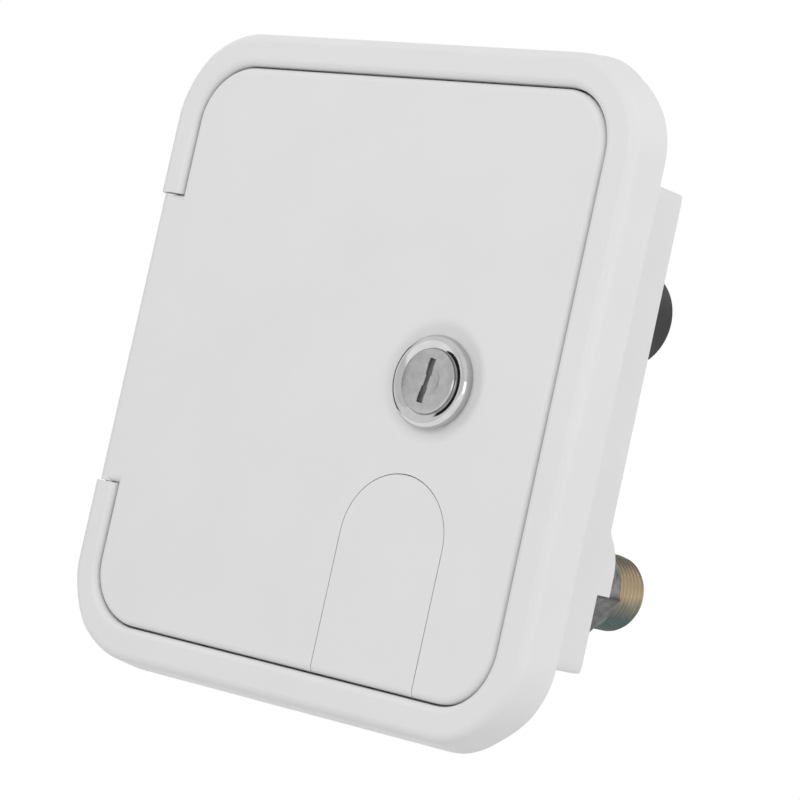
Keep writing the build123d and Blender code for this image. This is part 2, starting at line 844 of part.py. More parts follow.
def valve_spring():
    """Compression spring between the poppet and the guide."""
    start = seat_y + 2.0 + poppet_t + spring_wire_r
    length = socket_y - spring_wire_r - start
    helix = Helix(pitch=length / spring_turns, height=length, radius=spring_r)
    wire = Plane(helix @ 0, z_dir=helix % 0) * Circle(spring_wire_r)
    coil = sweep(wire, path=helix)
    upright = Pos(port_x, start, inlet_z) * Rot(-90, 0, 0)
    return upright * coil


def swivel_collar():
    """Hose collar that turns freely on the lip of the nose, with finger hollows round it."""
    lip_back = nose_front + nose_lip_t
    recess_r = swivel_thread_r + washer_recess
    points = [
        (swivel_thread_r, swivel_front),
        (swivel_r - 0.8, swivel_front),
        (swivel_r, swivel_front + 0.8),
        (swivel_r, swivel_rear - 4.5),
        (swivel_r - 3.5, swivel_rear),
        (nose_r + swivel_gap, swivel_rear),
        (nose_r + swivel_gap, lip_back + swivel_gap),
        (nose_lip_r + swivel_gap, lip_back + swivel_gap),
        (nose_lip_r + swivel_gap, swivel_step),
        (recess_r, swivel_step),
        (recess_r, swivel_thread_end),
        (swivel_thread_r, swivel_thread_end),
    ]
    collar = turned(points, port_x, inlet_z)
    centre_r = swivel_r - swivel_lobe_depth + swivel_lobe_cut_r
    for x, z in ring_places(swivel_lobes, centre_r, port_x, inlet_z, 0.0):
        collar -= slab(disc(swivel_lobe_cut_r, x, z), swivel_front + 3.5, swivel_rear + 1)
    return collar


def hose_washer():
    """Rubber washer in the recess behind the collar's thread, that the hose end closes on."""
    outer = disc(swivel_thread_r + washer_recess, port_x, inlet_z)
    return slab(outer - disc(hose_washer_bore_r, port_x, inlet_z), washer_front, swivel_step)


def main():
    save(housing(), "housing")
    save(hinge_pins(), "hinge_pins")
    save(door_seal(), "door_seal")
    save(door_panel(), "door_panel")
    save(hose_flap(), "hose_flap")
    save(flap_pin(), "flap_pin")
    save(lock_body(), "lock_body")
    save(lock_nut(), "lock_nut")
    save(lock_plug(), "lock_plug")
    save(lock_cam(), "lock_cam")
    save(cam_screw(), "cam_screw")
    save(fill_spout(), "fill_spout")
    save(gasket(spout_flange_r, spout_tail_r + wall_hole_gap, fill_z, fill_screw_places), "fill_gasket")
    save(fixing_screws(fill_screw_places, fitting_seat - spout_flange_t), "fill_screws")
    save(fill_cap(), "fill_cap")
    save(fill_cap_seal(), "fill_cap_seal")
    save(check_valve_body(), "check_valve_body")
    inlet_hole_r = hex_corner_r + pad_hole_gap
    save(gasket(inlet_flange_r, inlet_hole_r, inlet_z, inlet_screw_places), "inlet_gasket")
    save(fixing_screws(inlet_screw_places, fitting_seat - spout_flange_t), "inlet_screws")
    save(threaded_nipple(), "threaded_nipple")
    save(valve_poppet(), "valve_poppet")
    save(poppet_seal(), "poppet_seal")
    save(valve_guide(), "valve_guide")
    save(valve_spring(), "valve_spring")
    save(swivel_collar(), "swivel_collar")
    save(hose_washer(), "hose_washer")


main()
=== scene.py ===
import json
import math

import bmesh
import bpy
from mathutils import Matrix, Vector


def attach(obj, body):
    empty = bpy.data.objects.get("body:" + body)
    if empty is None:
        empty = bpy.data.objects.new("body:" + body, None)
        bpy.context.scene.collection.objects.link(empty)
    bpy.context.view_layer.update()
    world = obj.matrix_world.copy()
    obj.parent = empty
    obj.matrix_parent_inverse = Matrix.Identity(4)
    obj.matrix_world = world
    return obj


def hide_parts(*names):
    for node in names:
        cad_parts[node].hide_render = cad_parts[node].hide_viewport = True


# Looks of the water inlet hatch. Metres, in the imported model's own frame:
# X right as seen from the front, Y into the wall, Z up.

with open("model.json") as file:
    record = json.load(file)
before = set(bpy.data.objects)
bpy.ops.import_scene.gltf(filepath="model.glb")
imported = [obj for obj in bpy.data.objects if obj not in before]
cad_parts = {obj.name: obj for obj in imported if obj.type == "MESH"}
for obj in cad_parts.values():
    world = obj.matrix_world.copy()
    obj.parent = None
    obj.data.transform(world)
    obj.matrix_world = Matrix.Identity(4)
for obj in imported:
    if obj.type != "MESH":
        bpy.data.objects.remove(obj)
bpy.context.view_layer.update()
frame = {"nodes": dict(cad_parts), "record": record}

# Camera of the photograph, solved from the object's edges
CAMERA_AT = (0.490754, -0.565826, -0.052372)
CAMERA_RIGHT = (0.75623, 0.61802, 0.21484)
CAMERA_UP = (-0.12459, -0.18633, 0.97456)
CAMERA_LENS_MM = 126.0
CAMERA_SENSOR_MM = 36.0
CAMERA_CLIP = 0.01

# Studio
FLOOR_Z = -0.20
FLOOR_R = 1.6
FLOOR_GLOW = 0.50
FLOOR_GREY = 0.80
FLOOR_BOUNCE = 0.68
FLOOR_SIDES = 64
WORLD_LIGHT = 0.755
WHITE = (1.0, 1.0, 1.0, 1.0)
LAMP_TARGET = (0.0, 0.02, 0.0)
LAMPS = [
    # name, place, size, power, whether gloss shows it
    ("front_lamp", (0.1, -1.5, 0.5), 1.0, 3.75, True),
    ("left_lamp", (-1.2, -0.5, 0.35), 1.0, 1.8, False),
    ("low_lamp", (1.2, -0.5, -0.12), 0.9, 2.64, True),
    ("side_lamp", (1.4, 0.5, 0.2), 1.0, 2.95, True),
]
CARD_DISTANCE = 0.6
CARDS = [
    # name, degrees to the right of the lock's front, width, height, rise above the lock, grey
    ("dark_card", -79.0, 0.55, 0.42, 0.03, 0.02),
    ("pale_card", 0.0, 0.55, 0.50, 0.20, 0.85),
    ("grey_card", 108.0, 0.45, 0.60, 0.0, 0.45),
]

# Finishes. Noise is features a metre and detail, a ramp's edge is where its darker end sits,
# and a grain has a noise, a depth and a strength.
# Plastics: darkest and palest grey, roughness, grain a metre, grain's depth, gloss level
PLASTICS = {
    "white_plastic": (0.785, 0.800, 0.46, 2400.0, 0.00002),
    "black_plastic": (0.024, 0.034, 0.55, 1800.0, 0.00003, 0.3),
    "valve_plastic": (0.66, 0.70, 0.38, 1500.0, 0.00001),
}
PLASTIC_MOTTLE = (38.0, 3.0)
PLASTIC_EDGE = 0.32
PLASTIC_WIPE = (160.0, 4.0)
PLASTIC_UNEVEN = 0.05
PLASTIC_GRAIN_DETAIL = 2.0

# Metals: darkest and palest grey, roughness, mottle a metre, grain's depth
METALS = {
    "chrome": (0.50, 0.56, 0.07, 260.0, 0.0),
    "satin_chrome": (0.38, 0.46, 0.17, 420.0, 0.00001),
    # The shutter's steel is darkened to stand for painted shade inside the key slot.
    "shutter_steel_painted_shade": (0.13, 0.19, 0.45, 420.0, 0.00001),
    "steel": (0.50, 0.62, 0.30, 300.0, 0.00001),
    "cast_zinc": (0.15, 0.22, 0.46, 320.0, 0.00004),
}
METAL_MOTTLE_DETAIL = 5.0
METAL_EDGE = 0.3
METAL_WIPE_FINER = 3.1
METAL_WIPE_DETAIL = 4.0
METAL_UNEVEN = (0.75, 1.3)
METAL_GRAIN = (2600.0, 3.0)

RUBBER_GREYS = (0.018, 0.034)
RUBBER_MOTTLE = (240.0, 5.0)
RUBBER_EDGE = 0.3
RUBBER_ROUGH = (0.62, 0.82)
RUBBER_GRAIN = (3200.0, 3.0)
RUBBER_GRAIN_DEPTH = 0.00003

# Cast metal of the hexagon: painted shade along its corners and foot, painted light above
ZINC_METALLIC = 0.8
ZINC_GREYS = (0.085, 0.230)
ZINC_MOTTLE = (420.0, 6.0)
ZINC_EDGE = 0.34
ZINC_ROUGH = (0.38, 0.58)
ZINC_GRAIN_DEPTH = 0.00004
ZINC_CORNER_PAINTED_SHADE = (0.40, 1.0)
ZINC_CORNER_DEG = (0.5, 4.0)
ZINC_PAINTED_SHADE_AND_LIGHT_BY_HEIGHT = (0.74, 1.25)
ZINC_FOOT_UP = (-0.005, 0.001)

# Brass: colours by height, from 0 at the thread's foot to 1 at its top
# The tan is painted light on the flanks; the grey-green low down and the grey at the top are
# painted shade.
BRASS_METALLIC = 0.75
BRASS_STOPS = [
    (0.34, (0.076, 0.110, 0.104, 1.0)),
    (0.50, (0.200, 0.190, 0.145, 1.0)),
    (0.64, (0.430, 0.325, 0.210, 1.0)),
    (0.92, (0.420, 0.325, 0.215, 1.0)),
    (1.12, (0.180, 0.170, 0.140, 1.0)),
]
BRASS_MOTTLE = (150.0, 5.0)
BRASS_BLOTCH = 0.3
BRASS_END_PAINTED_SHADE = 0.35
BRASS_ROUGH = (0.30, 0.45)
BRASS_GRAIN = (3000.0, 3.0)
BRASS_GRAIN_DEPTH = 0.00002

# Axis of the inlet and of the lock
PORT_X = 0.0303
INLET_Z = -0.042
LOCK_X = 0.0328
LOCK_Z = 0.0

# Pipe thread of the inlet's tail
THREAD_R = 0.01100
THREAD_DEPTH = 0.00100
THREAD_PITCH = 0.001814
THREAD_START_Y = 0.0766
THREAD_END_Y = 0.0920
THREAD_INNER_Y = 0.0700
THREAD_SOCKET_R = 0.0104
THREAD_BORE_R = 0.0076
THREAD_CHAMFER = 0.0004
THREAD_LIP = 0.0005
THREAD_DARK_Y = (THREAD_END_Y - 0.0007, THREAD_END_Y - 0.0002)
THREAD_AROUND = 144
THREAD_ROWS_A_TURN = 14
THREAD_FLAT = 0.12

# Hose thread inside the swivel collar
HOSE_R = 0.0132
HOSE_DEPTH = 0.0009
HOSE_PITCH = 0.00221
HOSE_START_Y = 0.0145
HOSE_END_Y = 0.0229
HOSE_SUNK = 0.0001
HOSE_BURIED = 0.0003

# Bright ring on the lock's collar, and the shutter behind its key slot
LOCK_RING_HOLE_R = 0.00866
LOCK_RING_RIDGE_R = 0.0110
LOCK_RING_R = 0.01252
LOCK_RING_RIDGE_Y = -0.01230
LOCK_RING_HOLE_Y = -0.01175
LOCK_RING_FOOT_Y = -0.0100
LOCK_RING_FALL = 1.4
LOCK_RING_STEPS = 10
LOCK_RING_UNDER = 0.0003
LOCK_COLLAR_R = 0.0121
DIMPLE_R = 0.0044
DIMPLE_DEPTH = 0.00045
SHUTTER_Y = -0.0119
SHUTTER_T = 0.0004
SHUTTER_HALF_W = 0.0012
SHUTTER_HALF_H = 0.0061
SHUTTER_TILT_DEG = 8.0
SHUTTER_STEPS = 8

# Hexagon behind the wall: it stands turned by this much from the solid's, with smaller
# chamfers and a round shoulder behind it
HEX_TURN_DEG = -30.0
HEX_TILT_DEG = -7.6
HEX_FRONT_Y = 0.0580
HEX_REAR_Y = 0.0766
HEX_IN_R = 0.01235
HEX_CHAMFER = 0.0010
HEX_CHAMFER_REACH = 1.05 * HEX_CHAMFER
HEX_CHAMFER_SHARE = 0.25
HEX_SHOULDER_R = 0.01240
HEX_SHOULDER_IN_R = 0.0100
HEX_SHOULDER_Y = 0.0784
HEX_SHOULDER_BEVEL = 0.0003
HEX_SHOULDER_SUNK = 0.0004

# How the copies of the mouldings depart from the solids: (place, shift) stops
OPENING_HALF_W = 0.0718
FLANGE_T = 0.0105
FLANGE_CORNER = (0.0560, 0.0644)
FLANGE_CORNER_CUT = 0.0007
FLANGE_CORNER_KEPT_R = 0.0175
FLANGE_CORNER_CUT_R = 0.0220
RIM_SIDE_X = 0.0790
RIM_SIDE_SHIFT = 0.00080
RIM_END_STOPS = [(0.0804, 0.0), (0.0880, -0.0002)]
OPENING_LEFT_SHIFT = -0.0005
OPENING_RIGHT_SHIFT = -0.00085
UNMOVED_X = 0.0600
BOX_CORNER = (0.0552, 0.0628)
BOX_CORNER_SHARPER = 0.7
BOX_DEPTH = 0.0464
BUTTRESS_STOPS = [(0.0030, 0.0), (0.0040, -0.0006), (0.0153, -0.0014)]
DOOR_SIDE_STOPS = [
    (-0.0760, 0.0),
    (-0.0715, -0.00065),
    (-UNMOVED_X, 0.0),
    (UNMOVED_X, 0.0),
    (0.0711, -0.0007),
]
DOOR_END_STOPS = [(0.0700, 0.0), (0.0797, 0.00015)]
TONGUE_X = -0.0700
TONGUE_END_STOPS = [(0.0350, 0.0), (0.0400, 0.0003), (0.0415, 0.0003), (0.0500, 0.0)]
DOOR_FRONT_Y = -0.0100
DISH_FLOOR_Y = -0.0082
DISH_RISE = 0.0006
DISH_R = 0.0200

# Meshes
TURNED_AROUND = 120
SHARP_DEG = 35.0
COPY_SHARP_DEG = 25.0
THREAD_SHARP_DEG = 60.0
COPLANAR_DEG = 0.4
WELD = 1e-6
PLUG_CUTS = 7
NEAR = 0.0001
HAIR = 0.00001


def rgb(grey):
    """Opaque grey."""
    return (grey, grey, grey, 1.0)


def new_material(name):
    """A material with its Principled shader and object coordinates ready."""
    material = bpy.data.materials.new(name)
    material.use_nodes = True
    nodes = material.node_tree.nodes
    shader = nodes["Principled BSDF"]
    coords = nodes.new("ShaderNodeTexCoord")
    return material, nodes, material.node_tree.links, shader, coords.outputs["Object"]


def add_noise(nodes, links, coords, scale, detail):
    """Noise in object space, with its scale in features a metre."""
    noise = nodes.new("ShaderNodeTexNoise")
    noise.inputs["Scale"].default_value = scale
    noise.inputs["Detail"].default_value = detail
    links.new(coords, noise.inputs["Vector"])
    return noise.outputs["Fac"]


def add_ramp(nodes, links, factor, stops):
    """Colour ramp from (position, colour) stops."""
    ramp = nodes.new("ShaderNodeValToRGB")
    elements = ramp.color_ramp.elements
    while len(elements) < len(stops):
        elements.new(1.0)
    for element, (position, colour) in zip(elements, stops):
        element.position = position
        element.color = colour
    links.new(factor, ramp.inputs["Fac"])
    return ramp.outputs["Color"]


def grey_ramp(nodes, links, factor, low, high, edge):
    """Ramp between two greys, level outside edge to 1 - edge."""
    return add_ramp(nodes, links, factor, [(edge, rgb(low)), (1 - edge, rgb(high))])


def add_range(nodes, links, factor, low, high, from_low=0.3, from_high=0.7):
    """Maps a value, by default a noise's, to a range of numbers."""
    node = nodes.new("ShaderNodeMapRange")
    node.inputs["From Min"].default_value = from_low
    node.inputs["From Max"].default_value = from_high
    node.inputs["To Min"].default_value = low
    node.inputs["To Max"].default_value = high
    links.new(factor, node.inputs["Value"])
    return node.outputs["Result"]


def add_bump(nodes, links, shader, height, depth, strength=0.5):
    """Bump on a shader, as deep as depth in metres at full strength."""
    bump = nodes.new("ShaderNodeBump")
    bump.inputs["Strength"].default_value = strength
    bump.inputs["Distance"].default_value = depth
    links.new(height, bump.inputs["Height"])
    links.new(bump.outputs["Normal"], shader.inputs["Normal"])


def moulded_plastic(name, low, high, rough, grain_scale, grain_depth, sheen=0.5):
    """Moulded plastic: faint mottling, a fine textured grain and slightly uneven gloss."""
    material, nodes, links, shader, coords = new_material(name)
    shader.inputs["Specular IOR Level"].default_value = sheen
    mottle = add_noise(nodes, links, coords, *PLASTIC_MOTTLE)
    colour = grey_ramp(nodes, links, mottle, low, high, PLASTIC_EDGE)
    links.new(colour, shader.inputs["Base Color"])
    wipe = add_noise(nodes, links, coords, *PLASTIC_WIPE)
    smoothest, roughest = rough - PLASTIC_UNEVEN, rough + PLASTIC_UNEVEN
    links.new(add_range(nodes, links, wipe, smoothest, roughest), shader.inputs["Roughness"])
    grain = add_noise(nodes, links, coords, grain_scale, PLASTIC_GRAIN_DETAIL)
    add_bump(nodes, links, shader, grain, grain_depth)
    return material


def plated_metal(name, low, high, rough, mottle_scale, grain_depth):
    """Metal with an uneven finish and a faint surface ripple."""
    material, nodes, links, shader, coords = new_material(name)
    shader.inputs["Metallic"].default_value = 1.0
    mottle = add_noise(nodes, links, coords, mottle_scale, METAL_MOTTLE_DETAIL)
    colour = grey_ramp(nodes, links, mottle, low, high, METAL_EDGE)
    links.new(colour, shader.inputs["Base Color"])
    wipe = add_noise(nodes, links, coords, mottle_scale * METAL_WIPE_FINER, METAL_WIPE_DETAIL)
    smoothest, roughest = rough * METAL_UNEVEN[0], rough * METAL_UNEVEN[1]
    links.new(add_range(nodes, links, wipe, smoothest, roughest), shader.inputs["Roughness"])
    grain = add_noise(nodes, links, coords, *METAL_GRAIN)
    add_bump(nodes, links, shader, grain, grain_depth)
    return material


def matt_rubber(name):
    """Matt black rubber with a fine grain."""
    material, nodes, links, shader, coords = new_material(name)
    mottle = add_noise(nodes, links, coords, *RUBBER_MOTTLE)
    colour = grey_ramp(nodes, links, mottle, *RUBBER_GREYS, RUBBER_EDGE)
    links.new(colour, shader.inputs["Base Color"])
    links.new(add_range(nodes, links, mottle, *RUBBER_ROUGH), shader.inputs["Roughness"])
    grain = add_noise(nodes, links, coords, *RUBBER_GRAIN)
    add_bump(nodes, links, shader, grain, RUBBER_GRAIN_DEPTH, strength=0.6)
    return material


def add_math(nodes, links, operation, first, second=None, third=None):
    """Math node of up to three numbers or sockets."""
    node = nodes.new("ShaderNodeMath")
    node.operation = operation
    for i, value in enumerate((first, second, third)):
        if isinstance(value, (int, float)):
            node.inputs[i].default_value = value
        elif value is not None:
            links.new(value, node.inputs[i])
    return node.outputs[0]


def scale_colour(nodes, links, colour, factor):
    """Colour times a number."""
    node = nodes.new("ShaderNodeVectorMath")
    node.operation = "SCALE"
    links.new(colour, node.inputs[0])
    links.new(factor, node.inputs["Scale"])
    return node.outputs[0]


def cast_hexagon(name):
    """Blotched cast metal with painted shade on its corners and foot and painted light above."""
    material, nodes, links, shader, coords = new_material(name)
    shader.inputs["Metallic"].default_value = ZINC_METALLIC
    split = nodes.new("ShaderNodeSeparateXYZ")
    links.new(coords, split.inputs["Vector"])
    across = add_math(nodes, links, "SUBTRACT", split.outputs["X"], PORT_X)
    up = add_math(nodes, links, "SUBTRACT", split.outputs["Z"], INLET_Z)
    turn = add_math(nodes, links, "ARCTAN2", up, across)
    turn = add_math(nodes, links, "ADD", turn, 2 * math.pi - math.radians(HEX_TILT_DEG))
    from_corner = add_math(nodes, links, "PINGPONG", turn, math.pi / 6)
    corner_turns = [math.radians(angle) for angle in ZINC_CORNER_DEG]
    # Painted shade: darker in a thin strip along each corner of the hexagon.
    corner_painted_shade = add_range(nodes, links, from_corner, *ZINC_CORNER_PAINTED_SHADE, *corner_turns)
    # Painted shade on the lower flats and painted light on the upper flats.
    painted_shade_and_light_by_height = add_range(nodes, links, up, *ZINC_PAINTED_SHADE_AND_LIGHT_BY_HEIGHT, *ZINC_FOOT_UP)
    mottle = add_noise(nodes, links, coords, *ZINC_MOTTLE)
    blotch = grey_ramp(nodes, links, mottle, *ZINC_GREYS, ZINC_EDGE)
    shade = add_math(nodes, links, "MULTIPLY", corner_painted_shade, painted_shade_and_light_by_height)
    links.new(scale_colour(nodes, links, blotch, shade), shader.inputs["Base Color"])
    links.new(add_range(nodes, links, mottle, *ZINC_ROUGH), shader.inputs["Roughness"])
    grain = add_noise(nodes, links, coords, *METAL_GRAIN)
    add_bump(nodes, links, shader, grain, ZINC_GRAIN_DEPTH)
    return material


def brass_with_painted_light(name):
    """Thread metal: tan in painted light, grey-green in painted shade low down, painted shade at
    its rear end.
    """
    material, nodes, links, shader, coords = new_material(name)
    shader.inputs["Metallic"].default_value = BRASS_METALLIC
    split = nodes.new("ShaderNodeSeparateXYZ")
    links.new(coords, split.inputs["Vector"])
    foot, top = INLET_Z - THREAD_R, INLET_Z + THREAD_R
    # Painted light and shade by height, with a random blotch on top.
    height = add_range(nodes, links, split.outputs["Z"], 0.0, 1.0, foot, top)
    blotch = add_noise(nodes, links, coords, *BRASS_MOTTLE)
    uneven = add_math(nodes, links, "MULTIPLY_ADD", blotch, BRASS_BLOTCH, height)
    most = 1 + BRASS_BLOTCH
    shade = add_math(nodes, links, "DIVIDE", uneven, most)
    stops = [(place / most, colour) for place, colour in BRASS_STOPS]
    tan = add_ramp(nodes, links, shade, stops)
    # Painted shade along the thread's rear end.
    end = add_range(nodes, links, split.outputs["Y"], 1.0, BRASS_END_PAINTED_SHADE, *THREAD_DARK_Y)
    links.new(scale_colour(nodes, links, tan, end), shader.inputs["Base Color"])
    links.new(add_range(nodes, links, blotch, *BRASS_ROUGH), shader.inputs["Roughness"])
    grain = add_noise(nodes, links, coords, *BRASS_GRAIN)
    add_bump(nodes, links, shader, grain, BRASS_GRAIN_DEPTH)
    return material


materials = {name: moulded_plastic(name, *numbers) for name, numbers in PLASTICS.items()}
materials.update({name: plated_metal(name, *numbers) for name, numbers in METALS.items()})
materials["rubber"] = matt_rubber("rubber")
materials["hexagon_zinc"] = cast_hexagon("hexagon_zinc")
materials["brass"] = brass_with_painted_light("brass")


def dress(piece, look):
    """Gives a piece one material."""
    piece.data.materials.clear()
    piece.data.materials.append(materials[look])


def dress_cad():
    """Gives each CAD node the material of its slot."""
    for row in frame["record"]["subparts"]:
        dress(frame["nodes"][row["node"]], row["material_slot"])


def link_piece(name, mesh, body, slot, look, sharp_deg):
    """Object that rides on a body, smooth but for edges sharper than sharp_deg."""
    mesh.polygons.foreach_set("use_smooth", [True] * len(mesh.polygons))
    mesh.set_sharp_from_angle(angle=math.radians(sharp_deg))
    mesh.update()
    piece = bpy.data.objects.new(name, mesh)
    bpy.context.scene.collection.objects.link(piece)
    dress(piece, look or slot)
    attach(piece, body)
    return piece


def add_piece(name, vertices, faces, body, slot, look=None, sharp_deg=SHARP_DEG):
    """New piece from vertices and faces."""
    mesh = bpy.data.meshes.new(name)
    mesh.from_pydata(vertices, [], faces)
    return link_piece(name, mesh, body, slot, look, sharp_deg)


def rings_mesh(rings):
    """Vertices and faces of a closed sleeve from rings of equal length."""
    count = len(rings[0])
    vertices = [point for points in rings for point in points]
    faces = []
    for i in range(len(rings)):
        a, b = i * count, (i + 1) % len(rings) * count
        for j in range(count):
            k = (j + 1) % count
            faces.append((a + j, b + j, b + k, a + k))
    return vertices, faces


def ring(x, z, y, radius_at, count):
    """Points round a fore and aft axis; radius_at gives the radius at each turn."""
    points = []
    for j in range(count):
        turn = 2 * math.pi * j / count
        r = radius_at(turn)
        points.append((x + r * math.cos(turn), y, z + r * math.sin(turn)))
    return points


def level(r):
    """The same radius at each turn."""
    return lambda turn: r


def thread_height(share):
    """Height of a V thread with flats, 0 at its root and 1 at its crest, along one pitch."""
    slope = 1 - abs(2 * (share % 1.0) - 1)
    return min(max((slope - THREAD_FLAT) / (1 - 2 * THREAD_FLAT), 0.0), 1.0)


def tail_thread():
    """Inlet's tail with its helical pipe thread, chamfered end and bore."""
    root = THREAD_R - THREAD_DEPTH

    def threaded(y):
        def radius(turn):
            crest = thread_height(y / THREAD_PITCH - turn / (2 * math.pi))
            run_in = min(1.0, (y - THREAD_START_Y) / THREAD_PITCH)
            limit = THREAD_R - max(0.0, y - (THREAD_END_Y - THREAD_CHAMFER))
            return min(root + THREAD_DEPTH * crest * run_in, limit)
        return radius

    def plain(y, r):
        return ring(PORT_X, INLET_Z, y, level(r), THREAD_AROUND)

    step = THREAD_PITCH / THREAD_ROWS_A_TURN
    rows = int(round((THREAD_END_Y - THREAD_START_Y) / step))
    rings = [plain(THREAD_INNER_Y, THREAD_SOCKET_R), plain(THREAD_START_Y, THREAD_SOCKET_R)]
    for i in range(rows + 1):
        y = THREAD_START_Y + (THREAD_END_Y - THREAD_START_Y) * i / rows
        rings.append(ring(PORT_X, INLET_Z, y, threaded(y), THREAD_AROUND))
    rings.append(plain(THREAD_END_Y, THREAD_BORE_R + THREAD_LIP))
    rings.append(plain(THREAD_END_Y - THREAD_LIP, THREAD_BORE_R))
    rings.append(plain(THREAD_INNER_Y, THREAD_BORE_R))
    vertices, faces = rings_mesh(rings)
    names = ("housing", "brass")
    piece = add_piece("tail_thread", vertices, faces, *names, sharp_deg=THREAD_SHARP_DEG)
    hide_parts("threaded_nipple")


def shift_at(place, stops):
    """Shift at a place, in a line between (place, shift) stops and level past their ends."""
    if place <= stops[0][0]:
        return stops[0][1]
    for (a, shift_a), (b, shift_b) in zip(stops, stops[1:]):
        if place <= b:
            return shift_a + (shift_b - shift_a) * (place - a) / (b - a)
    return stops[-1][1]


def reshaped_mesh(node, name, place, cut_planes, cuts):
    """Copy of a CAD node's mesh, cut across or cut finer, with each point moved by place."""
    mesh = bpy.data.meshes.new(name)
    work = bmesh.new()
    work.from_mesh(frame["nodes"][node].data)
    bmesh.ops.remove_doubles(work, verts=work.verts, dist=WELD)
    for y in cut_planes:
        everything = work.verts[:] + work.edges[:] + work.faces[:]
        at, across = (0, y, 0), (0, 1, 0)
        bmesh.ops.bisect_plane(work, geom=everything, dist=WELD / 10, plane_co=at, plane_no=across)
    if cuts:
        bmesh.ops.triangulate(work, faces=work.faces[:])
        bmesh.ops.subdivide_edges(work, edges=work.edges[:], cuts=cuts, use_grid_fill=True)
    for vertex in work.verts:
        vertex.co = place(*vertex.co)
    if not cuts:
        limit = math.radians(COPLANAR_DEG)
        bmesh.ops.dissolve_limit(work, angle_limit=limit, verts=work.verts, edges=work.edges)
    work.to_mesh(mesh)
    work.free()
    return mesh


def reshaped(node, name, body, slot, place, look=None, cut_planes=(), cuts=0):
    """Reshaped copy that stands for a CAD node, with its flat faces shaded flat."""
    mesh = reshaped_mesh(node, name, place, cut_planes, cuts)
    piece = link_piece(name, mesh, body, slot, look, COPY_SHARP_DEG)
    flat = piece.modifiers.new("flat_faces", "WEIGHTED_NORMAL")
    flat.weight = 100
    flat.keep_sharp = True
    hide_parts(node)


def cut_flange_corner(x, z):
    """Pulls the bezel's outer corners in, most at their middle."""
    across, up = abs(x) - FLANGE_CORNER[0], abs(z) - FLANGE_CORNER[1]
    if across <= 0 or up <= 0:
        return x, z
    r = math.hypot(across, up)
    share = (r - FLANGE_CORNER_KEPT_R) / (FLANGE_CORNER_CUT_R - FLANGE_CORNER_KEPT_R)
    share = min(max(share, 0.0), 1.0)
    middle = (2 * across * up / r**2) ** 2
    scale = 1 - FLANGE_CORNER_CUT * share * middle / r
    x = math.copysign(FLANGE_CORNER[0] + across * scale, x)
    z = math.copysign(FLANGE_CORNER[1] + up * scale, z)
    return x, z


def sharpen_box_corner(x, z):
    """Moves the box's rounded corners out towards a square corner."""
    across, up = abs(x) - BOX_CORNER[0], abs(z) - BOX_CORNER[1]
    if across <= 0 or up <= 0:
        return x, z
    square = math.hypot(across, up) / max(across, up)
    scale = 1 + BOX_CORNER_SHARPER * (square - 1)
    x = math.copysign(BOX_CORNER[0] + across * scale, x)
    z = math.copysign(BOX_CORNER[1] + up * scale, z)
    return x, z


def housing_place(x, y, z):
    """Housing's point: bezel, opening, box corners and buttress as the photograph has them."""
    if y > 2 * NEAR:
        x, z = sharpen_box_corner(x, z)
        if y > BOX_DEPTH - NEAR and x > PORT_X and z < 0:
            z += shift_at(z - INLET_Z, BUTTRESS_STOPS)
        return x, y, z
    side = RIM_SIDE_SHIFT * min(max(-y / FLANGE_T, 0.0), 1.0)
    x, z = cut_flange_corner(x, z)
    stops = [
        (-RIM_SIDE_X, side),
        (-OPENING_HALF_W, OPENING_LEFT_SHIFT),
        (-UNMOVED_X, 0.0),
        (UNMOVED_X, 0.0),
        (OPENING_HALF_W, OPENING_RIGHT_SHIFT),
        (RIM_SIDE_X, -side),
    ]
    x += shift_at(x, stops)
    z += math.copysign(1.0, z) * shift_at(abs(z), RIM_END_STOPS)
    return x, y, z


def door_place(x, y, z):
    """Door's point: a narrower gap all round, and a shallower dish round the lock."""
    if math.hypot(x - LOCK_X, z - LOCK_Z) < DISH_R and y <= DISH_FLOOR_Y + NEAR:
        y -= DISH_RISE * (y - DOOR_FRONT_Y) / (DISH_FLOOR_Y - DOOR_FRONT_Y)
    side = shift_at(x, DOOR_SIDE_STOPS)
    end = shift_at(abs(z), DOOR_END_STOPS)
    if x < TONGUE_X:
        end += shift_at(abs(z), TONGUE_END_STOPS)
    return x + side, y, z + math.copysign(end, z)


def plug_place(x, y, z):
    """Plug's point: a dimple in the middle of its face."""
    share = math.hypot(x - LOCK_X, z - LOCK_Z) / DIMPLE_R
    if y < SHUTTER_Y and share < 1:
        y += DIMPLE_DEPTH * (1 - share**2)
    return x, y, z


def hexagon_place(x, y, z):
    """Valve body's point: all from the hexagon's front on turns, and its chamfers shrink."""
    if y < HEX_FRONT_Y - HAIR:
        return x, y, z
    across, up = x - PORT_X, z - INLET_Z
    turn = math.atan2(up, across) + math.radians(HEX_TURN_DEG)
    r = math.hypot(across, up)
    if r > HEX_IN_R - HAIR:
        off_flat = (turn - math.radians(HEX_TILT_DEG)) % (math.pi / 3) - math.pi / 6
        full_r = HEX_IN_R / math.cos(off_flat)
        r = full_r - HEX_CHAMFER_SHARE * max(0.0, full_r - r)
        for end, inwards in ((HEX_FRONT_Y, 1), (HEX_REAR_Y, -1)):
            if abs(y - end) < HEX_CHAMFER_REACH:
                y = end + inwards * HEX_CHAMFER_SHARE * abs(y - end)
    return PORT_X + r * math.cos(turn), y, INLET_Z + r * math.sin(turn)


def mouldings():
    """Housing, door and flap with the photograph's gaps and edges."""
    reshaped("housing", "housing_shell", "housing", "white_plastic", housing_place)
    reshaped("door_panel", "door_skin", "door", "white_plastic", door_place)
    reshaped("hose_flap", "flap_skin", "hose_flap", "white_plastic", door_place)


